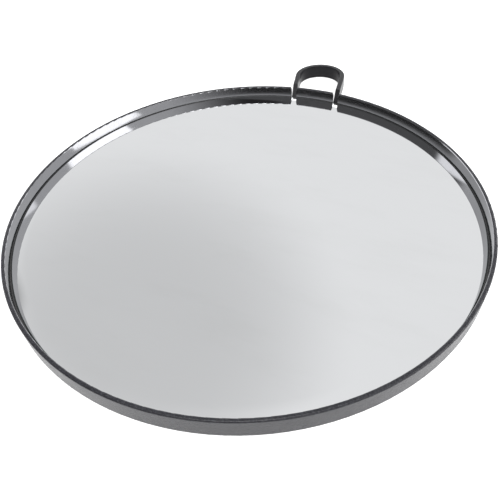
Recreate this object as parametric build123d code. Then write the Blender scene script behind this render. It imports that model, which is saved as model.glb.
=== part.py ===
from build123d import *
import math
import os

# Convex security mirror: a gently domed mirror set deep in a round moulded rim, with a strap
# loop at the top to hang it by.  It is drawn lying on its back: the back edge of the rim is
# z = 0, the mirror faces +Z and the hanging loop points to +Y.  All sizes are in millimetres.

# ---- rim -------------------------------------------------------------------------------
rim_diameter = 300.0
rim_height = 13.0
rim_wall = 2.4
front_edge_round = 0.9
back_edge_round = 0.5
board_rebate = 0.5            # how far the wall is thinned behind the mirror to seat the board
ring_groove_depth = 0.5       # below the rebate
ring_groove_start = 0.3       # height of the groove above the back edge

# ---- stack behind and in the rim, from the back forwards --------------------------------
snap_ring_thickness = 1.0
snap_ring_width = 3.8
snap_ring_gap = 16.0
snap_ring_lug_diameter = 8.0
snap_ring_lug_hole = 2.0
board_thickness = 1.2
tape_thickness = 0.5
tape_width = 10.0
film_thickness = 0.1
glass_thickness = 2.0
glass_rise = 4.0              # height of the dome's middle above its edge
glass_bevel_width = 5.5
glass_bevel_drop = 0.35
seal_width = 1.0
wall_pad_count = 4
wall_pad_diameter = 14.0
wall_pad_circle_diameter = 220.0
centre_pad_diameter = 24.0
pad_chamfer = 0.35

# ---- hanging loop -----------------------------------------------------------------------
strap_thickness = 3.9
strap_height = 10.4
strap_edge_round = 0.5
strap_taper_length = 11.0     # over which the strap thins down towards its slots
loop_bend_radius = 19.2       # centre line of the strap round the top of the loop
loop_reach = 30.0             # from the rim to the middle of that bend
loop_lean = -5.0              # sideways set of the bend: the soft strap leans a little
leg_spacing = 36.0            # between the two slots, centre to centre
toe_head_width = 9.0
toe_head_depth = 2.4
cross_pin_diameter = 0.8
cross_pin_overhang = 0.5      # at each end of the cross head

# ---- slots in the rim for the strap ---------------------------------------------------------
slot_flare_width = 5.8        # width of each slot at the front edge of the rim

# ---- clearances ---------------------------------------------------------------------------
strap_clearance = 0.1         # each side of the strap in its slot, and under its toes
strap_end_inset = 0.8         # the strap's taper ends this far inside the rim's outer face
strap_rim_clearance = 0.3     # under the slot, between strap and rim
board_clearance = 0.1         # round the edge of the board
ring_clearance = 0.05         # above and below the snap ring, and round it
pin_clearance = 0.02
toe_wall_gap = 1.6            # between the wall of the rim and the strap's cross heads
toe_film_gap = 0.2            # between the toes and the film above them
pocket_clearance = 1.0        # round the strap's toes in the board
film_inset = 0.5
foam_gap = 12.0               # between the foam pad and the tape ring round it
bond_gap = 0.02               # adhesive between the film and the layer under it

# ---- levels and radii that follow from the sizes above ---------------------------------------
rim_radius = rim_diameter / 2
wall_inner_radius = rim_radius - rim_wall
rebate_radius = wall_inner_radius + board_rebate
groove_radius = rebate_radius + ring_groove_depth
groove_top = ring_groove_start + snap_ring_thickness + 2 * ring_clearance
board_bottom = groove_top
board_top = board_bottom + board_thickness
tape_top = board_top + tape_thickness
film_top = tape_top + film_thickness
glass_edge_top = film_top + glass_thickness
glass_radius = wall_inner_radius - seal_width
board_radius = rebate_radius - board_clearance
slot_bottom = groove_top
slot_width = strap_thickness + 2 * strap_clearance
toe_bottom = slot_bottom + strap_clearance
toe_top = film_top - toe_film_gap
toe_length = rim_wall + toe_wall_gap + toe_head_depth     # from the rim's outer face inwards
tape_outer_radius = rim_radius - toe_length - pocket_clearance
tape_inner_radius = tape_outer_radius - tape_width
foam_radius = tape_inner_radius - foam_gap
cross_pin_length = toe_head_width + 2 * cross_pin_overhang
over_cut = 1.0                # how far a cutting solid reaches past what it cuts


def disc(radius, low, high):
    """A flat disc about Z between two heights."""
    return Pos(0, 0, low) * Cylinder(radius, high - low, align=(Align.CENTER, Align.CENTER, Align.MIN))


def ring(outer_radius, inner_radius, low, high):
    """A flat ring about Z between two heights."""
    outer = Cylinder(outer_radius, high - low, align=(Align.CENTER, Align.CENTER, Align.MIN))
    return Pos(0, 0, low) * outer - disc(inner_radius, low - over_cut, high + over_cut)


# The dome is part of a sphere whose radius follows from the rise over the glass's own radius.
dome_sphere_radius = (glass_radius ** 2 + glass_rise ** 2) / (2 * glass_rise)


def dome_height(radius):
    """Height of the dome above its edge at a distance from the middle."""
    at_radius = math.sqrt(dome_sphere_radius ** 2 - radius ** 2)
    at_edge = math.sqrt(dome_sphere_radius ** 2 - glass_radius ** 2)
    return at_radius - at_edge


def dome_arc(radius, level):
    """The dome's line from the middle out to a radius, for a layer whose edge is at a level."""
    half = radius / 2
    middle = (0, level + dome_height(0))
    between = (half, level + dome_height(half))
    edge = (radius, level + dome_height(radius))
    return ThreePointArc(middle, between, edge)


def turned(lines):
    """A solid turned about Z from a closed outline drawn in radius and height."""
    return revolve(Plane.XZ * make_face(lines), Axis.Z)


# ---- the loop's centre line ----------------------------------------------------------------

def foot_point(side):
    """Where a leg's centre line meets the outer face of the rim; side is -1 or 1."""
    x = side * leg_spacing / 2
    return Vector(x, math.sqrt(rim_radius ** 2 - x ** 2))


bend_centre = Vector(loop_lean, rim_radius + loop_reach)


def leg_direction(side):
    """Unit vector up a leg, which runs straight from its foot and meets the bend as a tangent."""
    to_centre = bend_centre - foot_point(side)
    turn = math.asin(loop_bend_radius / to_centre.length)
    angle = math.atan2(to_centre.Y, to_centre.X) - side * turn
    return Vector(math.cos(angle), math.sin(angle))


def leg_place(side):
    """Location at a leg's foot with its local +Y pointing up the leg."""
    foot = foot_point(side)
    way = leg_direction(side)
    return Location((foot.X, foot.Y, 0), (0, 0, math.degrees(math.atan2(way.Y, way.X)) - 90))


def loop_outline():
    """The strap seen from the front: two straight legs and a round bend, with its thickness."""
    half = strap_thickness / 2
    outer = []
    inner = []
    for side in (-1, 1):
        way = leg_direction(side)
        away = Vector(side * way.Y, -side * way.X)
        foot = foot_point(side) - way * toe_length
        for points, offset in ((outer, half), (inner, -half)):
            touch = bend_centre + away * (loop_bend_radius + offset)
            points.append((foot + away * offset, touch))
    crown = bend_centre + Vector(0, loop_bend_radius)
    (left_foot_out, left_out), (right_foot_out, right_out) = outer
    (left_foot_in, left_in), (right_foot_in, right_in) = inner
    lines = Curve() + [
        Line(left_foot_out, left_out),
        ThreePointArc(left_out, crown + Vector(0, half), right_out),
        Line(right_out, right_foot_out),
        Line(right_foot_out, right_foot_in),
        Line(right_foot_in, right_in),
        ThreePointArc(right_in, crown - Vector(0, half), left_in),
        Line(left_in, left_foot_in),
        Line(left_foot_in, left_foot_out),
    ]
    return make_face(lines)


def strap_taper():
    """Cone that thins the front of the strap down to the level of its toes where it enters the rim."""
    end_radius = rim_radius - strap_end_inset
    rise = strap_height - toe_top
    height = rise + over_cut
    spread = strap_taper_length * height / rise
    cone = Cone(end_radius, end_radius + spread, height, align=(Align.CENTER, Align.CENTER, Align.MIN))
    return Pos(0, 0, toe_top) * cone


def hanging_loop():
    """Strap on edge, with a stepped toe and a cross head on the end of each leg."""
    strap = extrude(loop_outline(), strap_height)
    flat_faces = strap.faces().sort_by(Axis.Z)
    strap = fillet(flat_faces[0].edges() + flat_faces[-1].edges(), strap_edge_round)
    strap -= disc(rim_radius + strap_rim_clearance, -over_cut, toe_bottom)
    strap -= strap_taper()
    for side in (-1, 1):
        strap += head_place(side) * Box(toe_head_width, toe_head_depth, toe_top - toe_bottom)
    for side in (-1, 1):
        pin_radius = cross_pin_diameter / 2 + pin_clearance
        strap -= head_place(side) * Rot(0, 90, 0) * Cylinder(pin_radius, cross_pin_length)
    return strap


def head_place(side):
    """Middle of a toe's cross head, turned square to the wall of the rim."""
    middle = foot_point(side) - leg_direction(side) * (toe_length - toe_head_depth / 2)
    facing = math.degrees(math.atan2(middle.Y, middle.X)) - 90
    return Location((middle.X, middle.Y, (toe_bottom + toe_top) / 2), (0, 0, facing))


def cross_pin(side):
    """Steel pin through a toe's cross head: it keeps the toe behind the wall of the rim."""
    return head_place(side) * Rot(0, 90, 0) * Cylinder(cross_pin_diameter / 2, cross_pin_length)


# ---- rim -------------------------------------------------------------------------------------

def slot_cutter(side):
    """An open slot down from the front edge, flared above the strap so that it drops in."""
    reach = rim_wall + toe_wall_gap
    half = slot_width / 2
    slope = (slot_flare_width / 2 - half) / (rim_height - strap_height)
    top = rim_height + over_cut
    flared = half + slope * (top - strap_height)
    outline = make_face(Polyline(
        (-half, slot_bottom), (half, slot_bottom), (half, strap_height), (flared, top),
        (-flared, top), (-half, strap_height), close=True))
    cutter = Pos(0, reach, 0) * extrude(Plane.XZ * outline, 2 * reach)
    return leg_place(side) * cutter


def rim_band():
    """Moulded hoop with a rebate and a snap ring groove inside its back edge."""
    outline = make_face(Polyline(
        (wall_inner_radius, rim_height), (rim_radius, rim_height), (rim_radius, 0),
        (rebate_radius, 0), (rebate_radius, ring_groove_start), (groove_radius, ring_groove_start),
        (groove_radius, groove_top), (rebate_radius, groove_top), (rebate_radius, board_top),
        (wall_inner_radius, board_top), close=True))
    front = outline.vertices().group_by(Axis.Y)[-1]
    outline = fillet(front, front_edge_round)
    back_corner = outline.vertices().group_by(Axis.Y)[0].sort_by(Axis.X)[-1]
    outline = fillet(back_corner, back_edge_round)
    band = revolve(Plane.XZ * outline, Axis.Z)
    for side in (-1, 1):
        band -= slot_cutter(side)
    return band


# ---- mirror and the layers behind it -----------------------------------------------------------

def mirror_glass():
    """Bent glass sheet with a polished bevel round the edge of its front face."""
    bevel_start = glass_radius - glass_bevel_width
    bevel_foot = glass_edge_top - glass_bevel_drop
    start_point = (bevel_start, glass_edge_top + dome_height(bevel_start))
    lines = Curve() + [
        dome_arc(bevel_start, glass_edge_top),
        Line(start_point, (glass_radius, bevel_foot)),
        Line((glass_radius, bevel_foot), (glass_radius, film_top)),
        dome_arc(glass_radius, film_top),
        Line((0, film_top + glass_rise), (0, glass_edge_top + glass_rise)),
    ]
    return turned(lines)


def dome_layer(radius, low, high):
    """A thin layer of one thickness that follows the back of the glass."""
    lines = Curve() + [
        dome_arc(radius, high),
        Line((radius, high + dome_height(radius)), (radius, low + dome_height(radius))),
        dome_arc(radius, low),
        Line((0, low + glass_rise), (0, high + glass_rise)),
    ]
    return turned(lines)


def shatter_film():
    """Clear film on the back of the glass that holds the pieces if it breaks."""
    return dome_layer(glass_radius - film_inset, tape_top + bond_gap, film_top)


def tape_ring():
    """Foam tape that bonds the glass to the board round its edge, shaped to the dome on top."""
    outer = tape_outer_radius
    inner = tape_inner_radius
    lines = Curve() + [
        Line((inner, board_top), (outer, board_top)),
        Line((outer, board_top), (outer, tape_top + dome_height(outer))),
        Line((outer, tape_top + dome_height(outer)), (inner, tape_top + dome_height(inner))),
        Line((inner, tape_top + dome_height(inner)), (inner, board_top)),
    ]
    return turned(lines)


def foam_pad():
    """Soft pad between the board and the hollow of the dome."""
    lines = Curve() + [
        dome_arc(foam_radius, tape_top),
        Line((foam_radius, tape_top + dome_height(foam_radius)), (foam_radius, board_top)),
        Line((foam_radius, board_top), (0, board_top)),
        Line((0, board_top), (0, tape_top + glass_rise)),
    ]
    return turned(lines)


def edge_seal():
    """Bead of sealant between the edge of the glass and the wall of the rim."""
    return ring(wall_inner_radius, glass_radius, film_top, glass_edge_top - glass_bevel_drop)


def back_board():
    """Hardboard disc with a pocket at each toe of the strap."""
    board = disc(board_radius, board_bottom, board_top)
    width = toe_head_width + 2 * pocket_clearance
    depth = 2 * toe_length
    back_off = depth / 2 - toe_head_depth / 2 - pocket_clearance
    for side in (-1, 1):
        pocket = Pos(0, back_off, 0) * Box(width, depth, 2 * (board_top + over_cut))
        board -= head_place(side) * pocket
    return board


def snap_ring():
    """Split spring ring with a holed lug at each end, sprung into the groove behind the board."""
    low = ring_groove_start + ring_clearance
    high = low + snap_ring_thickness
    outer = groove_radius - ring_clearance
    hoop = ring(outer, outer - snap_ring_width, low, high)
    lug_radius = snap_ring_lug_diameter / 2
    lug_centre_radius = outer - lug_radius
    half_gap = math.degrees(math.asin((snap_ring_gap / 2 + lug_radius) / lug_centre_radius))
    gap_width = snap_ring_gap + 2 * lug_radius
    gap_depth = 2 * (snap_ring_width + over_cut)
    hoop -= Pos(0, -outer, low) * Box(gap_width, gap_depth, 2 * (snap_ring_thickness + over_cut))
    for turn in (-half_gap, half_gap):
        place = Rot(0, 0, turn) * Pos(0, -lug_centre_radius, 0)
        hoop += place * disc(lug_radius, low, high)
        hoop -= place * disc(snap_ring_lug_hole / 2, low - over_cut, high + over_cut)
    return hoop


def rubber_pad(diameter):
    """Rubber pad on the back of the board, level with the back edge of the rim."""
    pad = disc(diameter / 2, 0, board_bottom)
    return chamfer(pad.edges().group_by(Axis.Z)[0], pad_chamfer)


def wall_pad(index):
    """One of the pads spaced evenly round the back."""
    angle = 360 * (index + 0.5) / wall_pad_count
    return Rot(0, 0, angle) * Pos(wall_pad_circle_diameter / 2, 0, 0) * rubber_pad(wall_pad_diameter)


def write_parts():
    """Write one STEP file for each piece."""
    pieces = {
        "rim_band": rim_band(),
        "hanging_loop": hanging_loop(),
        "left_cross_pin": cross_pin(-1),
        "right_cross_pin": cross_pin(1),
        "mirror_glass": mirror_glass(),
        "shatter_film": shatter_film(),
        "edge_seal": edge_seal(),
        "tape_ring": tape_ring(),
        "foam_pad": foam_pad(),
        "back_board": back_board(),
        "snap_ring": snap_ring(),
        "centre_pad": rubber_pad(centre_pad_diameter),
    }
    for index in range(wall_pad_count):
        pieces[f"wall_pad_{index + 1}"] = wall_pad(index)
    os.makedirs("parts", exist_ok=True)
    for name, shape in pieces.items():
        export_step(shape, f"parts/{name}.step")


write_parts()
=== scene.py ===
import math

import bmesh
import bpy
from mathutils import Matrix, Vector


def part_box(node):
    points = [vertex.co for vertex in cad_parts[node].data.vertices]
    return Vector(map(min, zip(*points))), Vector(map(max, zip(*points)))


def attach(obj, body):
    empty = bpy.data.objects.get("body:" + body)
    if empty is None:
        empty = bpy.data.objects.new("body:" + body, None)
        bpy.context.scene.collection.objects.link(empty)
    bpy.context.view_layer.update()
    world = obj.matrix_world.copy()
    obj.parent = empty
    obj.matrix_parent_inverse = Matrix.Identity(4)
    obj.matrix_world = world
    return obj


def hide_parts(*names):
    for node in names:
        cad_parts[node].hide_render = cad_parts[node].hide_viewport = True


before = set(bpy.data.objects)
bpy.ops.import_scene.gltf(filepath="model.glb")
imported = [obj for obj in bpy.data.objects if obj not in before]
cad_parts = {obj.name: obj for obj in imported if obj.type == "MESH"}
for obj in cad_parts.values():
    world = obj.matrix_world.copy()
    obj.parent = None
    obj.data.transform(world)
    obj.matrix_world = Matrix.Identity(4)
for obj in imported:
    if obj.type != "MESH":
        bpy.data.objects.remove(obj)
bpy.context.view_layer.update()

# Lengths are in metres.  The mirror lies on its back: it faces +Z and its hanging loop points to +Y.
MM = 0.001

# ---- sizes taken from the frame -----------------------------------------------------------------
rim_low, rim_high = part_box("rim_band")
glass_low, glass_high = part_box("mirror_glass")
seal_low, seal_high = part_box("edge_seal")
rim_radius = rim_high.x
rim_front = rim_high.z
glass_radius = glass_high.x
dome_top = glass_high.z
seal_radius = seal_high.x
seal_top = seal_high.z

# ---- the mirror's own shape -----------------------------------------------------------------------
BEVEL_WIDTH = 5.5 * MM
BEVEL_DROP = 0.35 * MM
DOME_RISE = 4.0 * MM
DOME_STEPS = 40                  # from the middle of the dome out to its bevel
EDGE_ARRIS = 0.15 * MM           # tiny ground chamfer on the sharp edges of the glass
SEAL_HOLLOW = 0.25 * MM          # how far the bead of sealant dips in the middle
SEAL_STEPS = 8
RIM_WALL = 2.4 * MM
RIM_EDGE_ROUND = 0.9 * MM
TURNS = 360                      # steps round everything that is turned
SHARP_EDGE = math.radians(30)    # edges that turn by more than this stay crisp

# ---- camera -------------------------------------------------------------------------------------
# The camera stands in front of the mirror's lower edge, a little to its right, and looks down.
CAMERA_TURN = math.radians(25.75)        # round the mirror from straight below the loop
CAMERA_DISTANCE = 1.650                 # level distance, height and aim in rim radii
CAMERA_HEIGHT = 1.342
AIM_ACROSS = 0.003
AIM_NEAR = -0.312
CAMERA_ROLL = -0.0771
LENS_MM = 35.84
SENSOR_MM = 36.0


def turned_about_mirror(across, away, height):
    """A direction or length given across and away from the camera and upwards, in the frame's axes."""
    c, s = math.cos(CAMERA_TURN), math.sin(CAMERA_TURN)
    return Vector((c * across - s * away, s * across + c * away, height))


def toward(turn, up):
    """Unit vector: turn degrees clockwise from straight away from the camera, up degrees above level."""
    turn = math.radians(turn)
    up = math.radians(up)
    return turned_about_mirror(math.sin(turn) * math.cos(up), math.cos(turn) * math.cos(up), math.sin(up))


def make_camera():
    """Camera at the mirror's own viewing angle, aimed a little below its middle."""
    data = bpy.data.cameras.new("camera")
    data.lens = LENS_MM
    data.sensor_width = SENSOR_MM
    data.clip_start = 10 * MM
    camera = bpy.data.objects.new("camera", data)
    bpy.context.scene.collection.objects.link(camera)
    front = Vector((0, 0, rim_front))
    place = front + rim_radius * turned_about_mirror(0, -CAMERA_DISTANCE, CAMERA_HEIGHT)
    aim = front + rim_radius * turned_about_mirror(AIM_ACROSS, AIM_NEAR, 0)
    forward = (aim - place).normalized()
    right = forward.cross(Vector((0, 0, 1))).normalized()
    up = right.cross(forward)
    c, s = math.cos(CAMERA_ROLL), math.sin(CAMERA_ROLL)
    turn = Matrix((c * right + s * up, c * up - s * right, -forward)).transposed()
    camera.matrix_world = Matrix.Translation(place) @ turn.to_4x4()
    bpy.context.scene.camera = camera


# ---- small helpers for shader nodes -----------------------------------------------------------------

def add(tree, kind, **settings):
    """Add a node, set its properties and return it."""
    node = tree.nodes.new(kind)
    for name, value in settings.items():
        setattr(node, name, value)
    return node


def feed(tree, socket, value):
    """Link a socket, or set a constant, on an input."""
    if isinstance(value, bpy.types.NodeSocket):
        tree.links.new(value, socket)
    else:
        socket.default_value = value


def maths(tree, operation, first, second=0.0, clamp=False):
    node = add(tree, "ShaderNodeMath", operation=operation, use_clamp=clamp)
    feed(tree, node.inputs[0], first)
    feed(tree, node.inputs[1], second)
    return node.outputs[0]


def vector_maths(tree, operation, first, second):
    node = add(tree, "ShaderNodeVectorMath", operation=operation)
    feed(tree, node.inputs[0], first)
    feed(tree, node.inputs["Scale" if operation == "SCALE" else 1], second)
    return node.outputs["Value" if operation in ("DOT_PRODUCT", "LENGTH") else "Vector"]


def ramp(tree, value, low, high, to_low=0.0, to_high=1.0, smooth=True):
    """Map a value from one range to another, clamped."""
    node = add(tree, "ShaderNodeMapRange", interpolation_type="SMOOTHSTEP" if smooth else "LINEAR")
    for socket, number in zip(node.inputs[:5], (value, low, high, to_low, to_high)):
        feed(tree, socket, number)
    return node.outputs[0]


def blend(tree, mask, first, second):
    """Mix two colours by a mask."""
    node = add(tree, "ShaderNodeMix", data_type="RGBA")
    feed(tree, node.inputs[0], mask)
    for socket, colour in ((node.inputs[6], first), (node.inputs[7], second)):
        feed(tree, socket, colour if isinstance(colour, bpy.types.NodeSocket) else (*colour, 1))
    return node.outputs[2]


def noise(tree, vector, scale, detail=2.0, rough=0.5):
    node = add(tree, "ShaderNodeTexNoise")
    feed(tree, node.inputs["Vector"], vector)
    feed(tree, node.inputs["Scale"], scale)
    node.inputs["Detail"].default_value = detail
    node.inputs["Roughness"].default_value = rough
    return node.outputs["Fac"]


def object_place(tree):
    return add(tree, "ShaderNodeTexCoord").outputs["Object"]


def new_group(name, inputs, outputs):
    """A shader node group with float inputs (name, default) and named float outputs."""
    group = bpy.data.node_groups.new(name, "ShaderNodeTree")
    for label, value in inputs:
        socket = group.interface.new_socket(label, in_out="INPUT", socket_type="NodeSocketFloat")
        socket.default_value = value
    for label in outputs:
        group.interface.new_socket(label, in_out="OUTPUT", socket_type="NodeSocketFloat")
    return group, add(group, "NodeGroupInput").outputs, add(group, "NodeGroupOutput").inputs


def place_group(tree, group, **values):
    """Put a group in a material; values are given by the input's name with _ for a space."""
    node = add(tree, "ShaderNodeGroup", node_tree=group)
    for label, value in values.items():
        node.inputs[label.replace("_", " ")].default_value = value
    return node.outputs


# ---- effects that several materials share -------------------------------------------------------------

def fine_grain_group():
    """Moulded grain: rounded pebbles of one size over a softer waviness, with scattered pale flecks."""
    inputs = (("Grain Size", 0.0005), ("Waviness", 0.3))
    group, given, out = new_group("fine grain", inputs, ("Height", "Fleck"))
    place = object_place(group)
    scale = maths(group, "DIVIDE", 1.0, given["Grain Size"])
    pebbles = add(group, "ShaderNodeTexVoronoi", feature="SMOOTH_F1")
    feed(group, pebbles.inputs["Vector"], place)
    feed(group, pebbles.inputs["Scale"], scale)
    pebbles.inputs["Smoothness"].default_value = 0.6
    round_tops = maths(group, "SUBTRACT", 1.0, pebbles.outputs["Distance"])
    waves = noise(group, place, maths(group, "MULTIPLY", scale, 0.22), detail=3.0)
    height = maths(group, "ADD", round_tops, maths(group, "MULTIPLY", waves, given["Waviness"]))
    feed(group, out["Height"], height)
    fleck = noise(group, place, maths(group, "MULTIPLY", scale, 0.8), detail=4.0, rough=0.7)
    feed(group, out["Fleck"], ramp(group, fleck, 0.42, 0.66))
    return group


def scuff_group():
    """Short rubbed marks and dulled patches, as a mask."""
    group, given, out = new_group("scuffs", (("Mark Size", 0.01), ("Amount", 0.5)), ("Mask",))
    place = object_place(group)
    scale = maths(group, "DIVIDE", 1.0, given["Mark Size"])
    patches = noise(group, place, scale, detail=5.0, rough=0.62)
    stretched = vector_maths(group, "MULTIPLY", place, (1.0, 7.0, 2.5))
    streaks = noise(group, stretched, maths(group, "MULTIPLY", scale, 3.0), detail=3.0, rough=0.7)
    both = maths(group, "MULTIPLY", ramp(group, patches, 0.45, 0.7), ramp(group, streaks, 0.4, 0.7))
    feed(group, out["Mask"], maths(group, "MULTIPLY", both, given["Amount"], clamp=True))
    return group


def dust_group():
    """Dust that settles on what faces the sky while the mirror lies on its back."""
    group, given, out = new_group("settled dust", (("Amount", 0.3), ("Speck Size", 0.0008)), ("Mask",))
    place = object_place(group)
    normal = add(group, "ShaderNodeNewGeometry").outputs["Normal"]
    facing_up = vector_maths(group, "DOT_PRODUCT", normal, (0.0, 0.0, 1.0))
    specks = noise(group, place, maths(group, "DIVIDE", 1.0, given["Speck Size"]), detail=2.0, rough=0.6)
    drifts = noise(group, place, 35.0, detail=3.0)
    lying = maths(group, "MULTIPLY", ramp(group, facing_up, 0.35, 0.95), ramp(group, specks, 0.5, 0.72))
    spread = maths(group, "MULTIPLY", lying, ramp(group, drifts, 0.3, 0.7))
    feed(group, out["Mask"], maths(group, "MULTIPLY", spread, given["Amount"], clamp=True))
    return group


def drawn_lines_group():
    """Fine lines left along rolled or drawn steel; the lines run round the mirror's axis."""
    group, given, out = new_group("drawn lines", (("Line Width", 0.0001),), ("Height", "Shade"))
    parts = add(group, "ShaderNodeSeparateXYZ")
    feed(group, parts.inputs[0], object_place(group))
    squared = [maths(group, "MULTIPLY", parts.outputs[i], parts.outputs[i]) for i in range(2)]
    radius = maths(group, "SQRT", maths(group, "ADD", *squared))
    turn = maths(group, "ARCTAN2", parts.outputs[1], parts.outputs[0])
    across = add(group, "ShaderNodeCombineXYZ")
    feed(group, across.inputs[0], radius)
    feed(group, across.inputs[1], maths(group, "MULTIPLY", turn, 0.002))
    feed(group, across.inputs[2], parts.outputs[2])
    scale = maths(group, "DIVIDE", 1.0, given["Line Width"])
    lines = noise(group, across.outputs[0], scale, detail=3.0, rough=0.6)
    feed(group, out["Height"], lines)
    feed(group, out["Shade"], ramp(group, lines, 0.3, 0.7))
    return group


fine_grain = fine_grain_group()
scuffs = scuff_group()
settled_dust = dust_group()
drawn_lines = drawn_lines_group()


# ---- materials ----------------------------------------------------------------------------------------

def new_material(name, **constants):
    """A material with a Principled shader; constants go on the shader's own sockets."""
    material = bpy.data.materials.new(name)
    material.use_nodes = True
    tree = material.node_tree
    shader = tree.nodes["Principled BSDF"]
    for label, value in constants.items():
        shader.inputs[label.replace("_", " ")].default_value = value
    return material, tree, shader.inputs


def bump(tree, socket, height, distance, normal=None):
    node = add(tree, "ShaderNodeBump")
    node.inputs["Distance"].default_value = distance
    feed(tree, node.inputs["Height"], height)
    if normal:
        feed(tree, node.inputs["Normal"], normal)
    feed(tree, socket, node.outputs[0])


def rim_shape_group():
    """The rim's own smooth surface direction, and a mask of its inner wall."""
    group, given, out = new_group("rim shape", (), ("Inside",))
    group.interface.new_socket("Normal", in_out="OUTPUT", socket_type="NodeSocketVector")
    place = object_place(group)
    level = vector_maths(group, "MULTIPLY", place, (1.0, 1.0, 0.0))
    radius = vector_maths(group, "LENGTH", level, (0.0, 0.0, 0.0))
    outward = vector_maths(group, "NORMALIZE", level, (0.0, 0.0, 0.0))
    height = vector_maths(group, "DOT_PRODUCT", place, (0.0, 0.0, 1.0))
    inner_radius = rim_radius - RIM_WALL
    past_outer = maths(group, "MAXIMUM", maths(group, "SUBTRACT", radius, rim_radius - RIM_EDGE_ROUND), 0.0)
    past_inner = maths(group, "MAXIMUM", maths(group, "SUBTRACT", inner_radius + RIM_EDGE_ROUND, radius), 0.0)
    past_front = maths(group, "MAXIMUM", maths(group, "SUBTRACT", height, rim_front - RIM_EDGE_ROUND), 0.0)
    sideways = vector_maths(group, "SCALE", outward, maths(group, "SUBTRACT", past_outer, past_inner))
    upright = add(group, "ShaderNodeCombineXYZ")
    feed(group, upright.inputs[2], past_front)
    slanted = vector_maths(group, "ADD", sideways, upright.outputs[0])
    smooth = vector_maths(group, "NORMALIZE", slanted, (0, 0, 0))
    facet = add(group, "ShaderNodeNewGeometry").outputs["True Normal"]
    agrees = maths(group, "GREATER_THAN", vector_maths(group, "DOT_PRODUCT", smooth, facet), 0.85)
    mixed = add(group, "ShaderNodeMix", data_type="VECTOR")
    feed(group, mixed.inputs[0], agrees)
    feed(group, mixed.inputs[4], facet)
    feed(group, mixed.inputs[5], smooth)
    feed(group, out["Normal"], mixed.outputs[1])
    edge = RIM_EDGE_ROUND / 6
    feed(group, out["Inside"], ramp(group, radius, inner_radius + edge, inner_radius + 2 * edge, 1.0, 0.0))
    return group


rim_shape = rim_shape_group()


def rim_finish():
    """Black rim: polished and mirror-like inside, satin on the front edge and grained outside."""
    material, tree, shader = new_material("black_rim", Specular_IOR_Level=0.35)
    grain = place_group(tree, fine_grain, Grain_Size=0.0006, Waviness=0.5)
    marks = place_group(tree, scuffs, Mark_Size=0.012, Amount=0.8)
    dust = place_group(tree, settled_dust, Amount=0.12, Speck_Size=0.0007)
    shape = place_group(tree, rim_shape)
    inside = shape["Inside"]
    moulded = blend(tree, grain["Fleck"], (0.012, 0.012, 0.016), (0.040, 0.040, 0.048))
    dusty = blend(tree, dust["Mask"], moulded, (0.30, 0.29, 0.27))
    polished = blend(tree, marks["Mask"], (0.380, 0.380, 0.395), (0.300, 0.300, 0.310))
    feed(tree, shader["Base Color"], blend(tree, inside, dusty, polished))
    feed(tree, shader["Metallic"], inside)
    satin = maths(tree, "ADD", 0.28, maths(tree, "MULTIPLY", marks["Mask"], 0.20))
    gloss = maths(tree, "ADD", 0.08, maths(tree, "MULTIPLY", marks["Mask"], 0.10))
    feed(tree, shader["Roughness"], ramp(tree, inside, 0.0, 1.0, satin, gloss, smooth=False))
    relief = maths(tree, "MULTIPLY", grain["Height"], maths(tree, "SUBTRACT", 1.0, inside))
    bump(tree, shader["Normal"], relief, 0.10 * MM, shape["Normal"])
    return material


def strap_rubber():
    """Black flexible strap with a soft satin skin."""
    material, tree, shader = new_material("strap_rubber", Specular_IOR_Level=0.22)
    grain = place_group(tree, fine_grain, Grain_Size=0.0004, Waviness=0.9)
    marks = place_group(tree, scuffs, Mark_Size=0.006, Amount=0.9)
    dust = place_group(tree, settled_dust, Amount=0.05, Speck_Size=0.0006)
    black = blend(tree, marks["Mask"], (0.004, 0.004, 0.0060), (0.012, 0.012, 0.015))
    feed(tree, shader["Base Color"], blend(tree, dust["Mask"], black, (0.3, 0.29, 0.27)))
    feed(tree, shader["Roughness"], maths(tree, "ADD", 0.30, maths(tree, "MULTIPLY", marks["Mask"], 0.15)))
    bump(tree, shader["Normal"], grain["Height"], 0.02 * MM)
    return material


def mirror_silver():
    """The silvered front: a clean mirror with very faint wiping marks."""
    material, tree, shader = new_material("mirror_silver", Metallic=1.0)
    place = object_place(tree)
    wiped = noise(tree, vector_maths(tree, "MULTIPLY", place, (1.0, 3.0, 1.0)), 14.0, detail=4.0, rough=0.6)
    haze = ramp(tree, wiped, 0.45, 0.75)
    feed(tree, shader["Base Color"], blend(tree, haze, (0.905, 0.912, 0.918), (0.885, 0.892, 0.896)))
    feed(tree, shader["Roughness"], maths(tree, "ADD", 0.012, maths(tree, "MULTIPLY", haze, 0.03)))
    return material


def ground_glass_edge():
    """The cut edge of the sheet: fine ground, with the green of thick glass."""
    material, tree, shader = new_material("ground_glass_edge")
    grain = place_group(tree, fine_grain, Grain_Size=0.0002, Waviness=0.2)
    feed(tree, shader["Base Color"], blend(tree, grain["Fleck"], (0.10, 0.16, 0.14), (0.22, 0.30, 0.27)))
    feed(tree, shader["Roughness"], maths(tree, "ADD", 0.35, maths(tree, "MULTIPLY", grain["Fleck"], 0.2)))
    bump(tree, shader["Normal"], grain["Height"], 0.02 * MM)
    return material


def backing_paint():
    """Grey paint over the silver on the back of the glass."""
    material, tree, shader = new_material("backing_paint")
    waves = noise(tree, object_place(tree), 180.0, detail=4.0)
    feed(tree, shader["Base Color"], blend(tree, waves, (0.20, 0.21, 0.22), (0.27, 0.28, 0.29)))
    feed(tree, shader["Roughness"], ramp(tree, waves, 0.3, 0.7, 0.4, 0.6))
    bump(tree, shader["Normal"], waves, 0.05 * MM)
    return material


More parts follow.
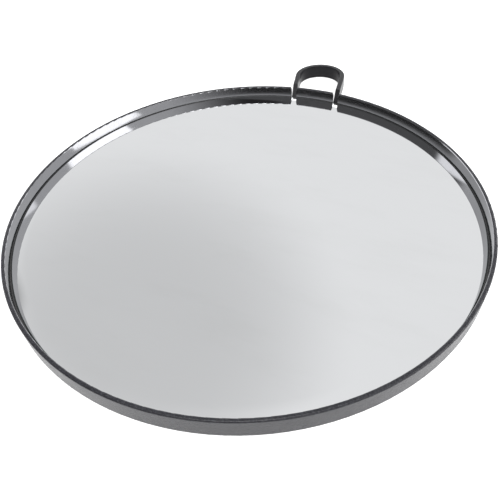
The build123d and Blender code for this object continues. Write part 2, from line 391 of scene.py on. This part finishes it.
def sealant():
    """Black sealant, smoothed with a finger: small ripples along the bead."""
    material, tree, shader = new_material("black_sealant")
    ripples = noise(tree, object_place(tree), 420.0, detail=3.0)
    feed(tree, shader["Base Color"], blend(tree, ripples, (0.010, 0.010, 0.011), (0.022, 0.022, 0.023)))
    feed(tree, shader["Roughness"], ramp(tree, ripples, 0.3, 0.7, 0.35, 0.5))
    bump(tree, shader["Normal"], ripples, 0.08 * MM)
    return material


def film():
    """Grey film stuck to the back of the glass."""
    material, tree, shader = new_material("shatter_film")
    waves = noise(tree, object_place(tree), 90.0, detail=3.0)
    feed(tree, shader["Base Color"], blend(tree, waves, (0.33, 0.35, 0.36), (0.40, 0.42, 0.43)))
    feed(tree, shader["Roughness"], ramp(tree, waves, 0.3, 0.7, 0.18, 0.3))
    bump(tree, shader["Normal"], waves, 0.05 * MM)
    return material


def foam(name, light, shade, cell):
    """Open-celled foam of a given cell size."""
    material, tree, shader = new_material(name)
    cells = place_group(tree, fine_grain, Grain_Size=cell, Waviness=0.8)
    feed(tree, shader["Base Color"], blend(tree, cells["Fleck"], light, shade))
    feed(tree, shader["Roughness"], maths(tree, "ADD", 0.8, maths(tree, "MULTIPLY", cells["Fleck"], 0.15)))
    bump(tree, shader["Normal"], cells["Height"], 0.3 * MM)
    return material


def hardboard():
    """Brown hardboard: pressed fibres, darker flecks and a slightly rubbed smooth face."""
    material, tree, shader = new_material("hardboard")
    place = object_place(tree)
    fibres = [noise(tree, vector_maths(tree, "MULTIPLY", place, stretch), 900.0, detail=4.0, rough=0.65)
              for stretch in ((1.0, 0.18, 1.0), (0.2, 1.0, 1.0))]
    felt = maths(tree, "MULTIPLY", maths(tree, "ADD", *fibres), 0.5)
    tone = noise(tree, place, 22.0, detail=4.0)
    marks = place_group(tree, scuffs, Mark_Size=0.03, Amount=0.7)
    brown = blend(tree, ramp(tree, felt, 0.38, 0.62), (0.105, 0.058, 0.030), (0.235, 0.145, 0.078))
    toned = blend(tree, ramp(tree, tone, 0.35, 0.7, 0.0, 0.45), brown, (0.300, 0.190, 0.105))
    feed(tree, shader["Base Color"], blend(tree, marks["Mask"], toned, (0.34, 0.25, 0.16)))
    feed(tree, shader["Roughness"], ramp(tree, felt, 0.35, 0.65, 0.62, 0.45))
    bump(tree, shader["Normal"], felt, 0.12 * MM)
    return material


def steel(name, light, dark, line_width, rough):
    """Bare steel with drawn lines and duller patches."""
    material, tree, shader = new_material(name, Metallic=1.0)
    lines = place_group(tree, drawn_lines, Line_Width=line_width)
    marks = place_group(tree, scuffs, Mark_Size=0.01, Amount=0.8)
    shade = blend(tree, lines["Shade"], dark, light)
    feed(tree, shader["Base Color"], blend(tree, marks["Mask"], shade, [0.6 * value for value in dark]))
    feed(tree, shader["Roughness"], maths(tree, "ADD", rough, maths(tree, "MULTIPLY", marks["Mask"], 0.25)))
    bump(tree, shader["Normal"], lines["Height"], 0.01 * MM)
    return material


def pad_rubber():
    """Black rubber pads, dull and a little dusty."""
    material, tree, shader = new_material("pad_rubber")
    grain = place_group(tree, fine_grain, Grain_Size=0.0003, Waviness=0.6)
    marks = place_group(tree, scuffs, Mark_Size=0.005, Amount=1.0)
    black = blend(tree, grain["Fleck"], (0.016, 0.016, 0.017), (0.034, 0.034, 0.035))
    feed(tree, shader["Base Color"], blend(tree, marks["Mask"], black, (0.075, 0.073, 0.070)))
    feed(tree, shader["Roughness"], maths(tree, "ADD", 0.62, maths(tree, "MULTIPLY", marks["Mask"], 0.2)))
    bump(tree, shader["Normal"], grain["Height"], 0.03 * MM)
    return material


def give(names, material):
    """Assign a material to CAD nodes."""
    for name in names:
        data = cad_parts[name].data
        data.materials.clear()
        data.materials.append(material)


# ---- turned pieces ---------------------------------------------------------------------------------

def turn_profile(name, profile, materials, bands=None):
    """Turn an outline of (radius, height) points about Z; bands gives each step's material index."""
    mesh = bmesh.new()
    rings = []
    for radius, height in profile:
        if radius < 1e-9:
            rings.append([mesh.verts.new((0, 0, height))])
        else:
            angles = [2 * math.pi * step / TURNS for step in range(TURNS)]
            places = [(radius * math.cos(a), radius * math.sin(a), height) for a in angles]
            rings.append([mesh.verts.new(place) for place in places])
    for index in range(len(rings) - 1):
        near, far = rings[index], rings[index + 1]
        for step in range(TURNS):
            after = (step + 1) % TURNS
            ends = [near[step % len(near)], near[after % len(near)]]
            ends += [far[after % len(far)], far[step % len(far)]]
            corners = list(dict.fromkeys(ends))
            face = mesh.faces.new(corners)
            face.smooth = True
            face.material_index = bands[index] if bands else 0
    bmesh.ops.recalc_face_normals(mesh, faces=mesh.faces)
    data = bpy.data.meshes.new(name)
    mesh.to_mesh(data)
    mesh.free()
    for material in materials:
        data.materials.append(material)
    data.set_sharp_from_angle(angle=SHARP_EDGE)
    piece = bpy.data.objects.new(name, data)
    bpy.context.scene.collection.objects.link(piece)
    return piece


def dome_height(radius):
    """Height of the dome above its edge at a distance from the middle."""
    sphere = (glass_radius ** 2 + DOME_RISE ** 2) / (2 * DOME_RISE)
    return math.sqrt(sphere ** 2 - radius ** 2) - math.sqrt(sphere ** 2 - glass_radius ** 2)


def mirror_sheet():
    """The bent sheet: silvered dome and bevel in front, ground edge, painted back."""
    edge_top = dome_top - DOME_RISE
    bevel_start = glass_radius - BEVEL_WIDTH
    profile = []
    for step in range(DOME_STEPS + 1):
        radius = bevel_start * step / DOME_STEPS
        profile.append((radius, edge_top + dome_height(radius)))
    bevel_foot = edge_top - BEVEL_DROP
    profile.append((glass_radius - EDGE_ARRIS, bevel_foot + EDGE_ARRIS * BEVEL_DROP / BEVEL_WIDTH))
    silver = len(profile) - 1
    profile.append((glass_radius, bevel_foot - EDGE_ARRIS))
    profile.append((glass_radius, glass_low.z))
    edge = len(profile) - 1 - silver
    for step in range(DOME_STEPS - 1, -1, -1):
        radius = glass_radius * step / DOME_STEPS
        profile.append((radius, glass_low.z + dome_height(radius)))
    back = len(profile) - 1 - silver - edge
    bands = [0] * silver + [1] * edge + [2] * back
    materials = (mirror_silver(), ground_glass_edge(), backing_paint())
    piece = turn_profile("mirror_sheet", profile, materials, bands)
    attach(piece, "root")
    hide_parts("mirror_glass")


def sealant_bead():
    """Sealant between glass and rim, hollowed a little on top where it was smoothed."""
    profile = [(glass_radius, seal_low.z)]
    for step in range(SEAL_STEPS + 1):
        share = step / SEAL_STEPS
        radius = glass_radius + share * (seal_radius - glass_radius)
        dip = SEAL_HOLLOW * math.sin(math.pi * share)
        profile.append((radius, seal_top - dip))
    profile.append((seal_radius, seal_low.z))
    profile.append(profile[0])
    piece = turn_profile("sealant_bead", profile, (sealant(),))
    merge = bmesh.new()
    merge.from_mesh(piece.data)
    bmesh.ops.remove_doubles(merge, verts=merge.verts, dist=1e-7)
    merge.to_mesh(piece.data)
    merge.free()
    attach(piece, "root")
    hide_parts("edge_seal")


# ---- studio ------------------------------------------------------------------------------------------

# The surround as seen from the mirror.  Turns and heights are in degrees, and an area's two half
# angles say where it is full and where it has faded out.
SURROUND = 0.82
# A dimmer patch overhead to the left, and how much it multiplies the white by.
PATCH_TURN, PATCH_UP = -28, 54
PATCH_FULL, PATCH_FADED = 6, 30
PATCH_LEVEL = 0.74
# A dark wall behind and to the left of the camera: where it fades in and out round the mirror, and
# the height at which it gives way to the white above it.
DARK_WALL = 0.05
DARK_TURN, DARK_FULL, DARK_FADED = 246, 60, 110
DARK_CUT_TURN, DARK_CUT_SOFT = 315, 4
DARK_TOP, DARK_TOP_SOFT = 40.5, 2.5
# A low pale wall all round, higher at the left and right, and white cards on it past the mirror.
LOW_WALL_TOP = 0.29
LOW_WALL_RISE = 0.29
LOW_WALL_SOFT = 0.012
LOW_WALL = 0.17
WHITE_CARD = 1.9
CARD_TURN, CARD_HALF, CARD_SOFT = 355, 61, 4
KEY_TURN, KEY_UP, KEY_DISTANCE = 99, 25, 1.8
KEY_SIZE = (1.15, 1.2)
KEY_POWER = 9.5
TOP_SIZE = 1.3
TOP_DISTANCE = 2.2
TOP_TURN, TOP_UP = 180, 72
TOP_POWER = 30.0
FLOOR_SIZE = 8.0
FLOOR_GLOW = 0.5
FLOOR_DROP = 0.1 * MM                   # the floor lies this far below the back of the mirror


def fading_area(tree, looking, turn, up, full, faded, inside, outside):
    """A round area of the surround: one level inside, fading to another outside."""
    near = vector_maths(tree, "DOT_PRODUCT", looking, toward(turn, up))
    return ramp(tree, near, math.cos(math.radians(faded)), math.cos(math.radians(full)), outside, inside)


def studio_surround():
    """White surround with a dark wall, a low pale wall and white cards for the rim to reflect."""
    world = bpy.data.worlds.new("studio_surround")
    bpy.context.scene.world = world
    world.use_nodes = True
    tree = world.node_tree
    background = tree.nodes["Background"]
    looking = add(tree, "ShaderNodeTexCoord").outputs["Generated"]
    patch = fading_area(tree, looking, PATCH_TURN, PATCH_UP, PATCH_FULL, PATCH_FADED, PATCH_LEVEL, 1.0)
    level = maths(tree, "MULTIPLY", SURROUND, patch)
    height = vector_maths(tree, "DOT_PRODUCT", looking, Vector((0, 0, 1)))
    dark = fading_area(tree, looking, DARK_TURN, 0, DARK_FULL, DARK_FADED, 1.0, 0.0)
    past_cut = vector_maths(tree, "DOT_PRODUCT", looking, toward(DARK_CUT_TURN + 90, 0))
    soft = math.sin(math.radians(DARK_CUT_SOFT))
    dark = maths(tree, "MULTIPLY", dark, ramp(tree, past_cut, -soft, soft, 1.0, 0.0))
    low_edge, high_edge = (math.sin(math.radians(DARK_TOP + side * DARK_TOP_SOFT)) for side in (-1, 1))
    dark = maths(tree, "MULTIPLY", dark, ramp(tree, height, low_edge, high_edge, 1.0, 0.0))
    level = maths(tree, "MULTIPLY", level, ramp(tree, dark, 0.0, 1.0, 1.0, DARK_WALL, smooth=False))
    across = maths(tree, "ABSOLUTE", vector_maths(tree, "DOT_PRODUCT", looking, toward(90, 0)))
    above = maths(tree, "SUBTRACT", height, maths(tree, "MULTIPLY", across, LOW_WALL_RISE))
    soft = LOW_WALL_SOFT
    low = ramp(tree, above, LOW_WALL_TOP - soft, LOW_WALL_TOP + soft, 1.0, 0.0)
    card = fading_area(tree, looking, CARD_TURN, 0, CARD_HALF, CARD_HALF + CARD_SOFT, WHITE_CARD, LOW_WALL)
    level = maths(tree, "MAXIMUM", level, maths(tree, "MULTIPLY", low, card))
    feed(tree, background.inputs["Strength"], level)
    background.inputs["Color"].default_value = (0.985, 0.99, 1.0, 1)


def soft_box(name, place, size, power):
    """A rectangular studio light that faces the mirror."""
    data = bpy.data.lights.new(name, "AREA")
    data.shape = "RECTANGLE"
    data.size, data.size_y = size
    data.energy = power
    light = bpy.data.objects.new(name, data)
    bpy.context.scene.collection.objects.link(light)
    light.location = place
    light.rotation_euler = (-Vector(place)).to_track_quat("-Z", "Y").to_euler()
    light.visible_camera = False


def white_floor():
    """Pale floor under the mirror, faintly clouded and a little self-lit so that it stays even."""
    material, tree, shader = new_material("white_floor", Emission_Strength=FLOOR_GLOW)
    clouds = noise(tree, object_place(tree), 3.0, detail=2.0)
    feed(tree, shader["Base Color"], blend(tree, clouds, (0.86, 0.86, 0.86), (0.88, 0.88, 0.88)))
    shader["Emission Color"].default_value = (1, 1, 1, 1)
    shader["Roughness"].default_value = 0.8
    mesh = bmesh.new()
    bmesh.ops.create_grid(mesh, x_segments=8, y_segments=8, size=FLOOR_SIZE / 2)
    data = bpy.data.meshes.new("floor")
    mesh.to_mesh(data)
    mesh.free()
    data.materials.append(material)
    floor = bpy.data.objects.new("floor", data)
    bpy.context.scene.collection.objects.link(floor)
    floor.location.z = rim_low.z - FLOOR_DROP


# ---- put it together ----------------------------------------------------------------------------------

make_camera()
mirror_sheet()
sealant_bead()
give(["rim_band"], rim_finish())
give(["hanging_loop"], strap_rubber())
give(["shatter_film"], film())
give(["tape_ring"], foam("foam_tape", (0.78, 0.78, 0.75), (0.66, 0.66, 0.63), 0.0004))
give(["foam_pad"], foam("soft_foam", (0.72, 0.72, 0.70), (0.55, 0.55, 0.53), 0.0012))
give(["back_board"], hardboard())
give(["snap_ring"], steel("spring_steel", (0.42, 0.42, 0.44), (0.22, 0.22, 0.235), 0.00012, 0.28))
pin_steel = steel("pin_steel", (0.68, 0.68, 0.70), (0.5, 0.5, 0.52), 0.00008, 0.2)
give(["left_cross_pin", "right_cross_pin"], pin_steel)
give(["centre_pad"] + [name for name in sorted(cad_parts) if name.startswith("wall_pad_")], pad_rubber())

white_floor()
studio_surround()
soft_box("key_softbox", KEY_DISTANCE * toward(KEY_TURN, KEY_UP), KEY_SIZE, KEY_POWER)
soft_box("top_softbox", TOP_DISTANCE * toward(TOP_TURN, TOP_UP), (TOP_SIZE, TOP_SIZE), TOP_POWER)
bpy.context.scene.view_settings.view_transform = "Standard"
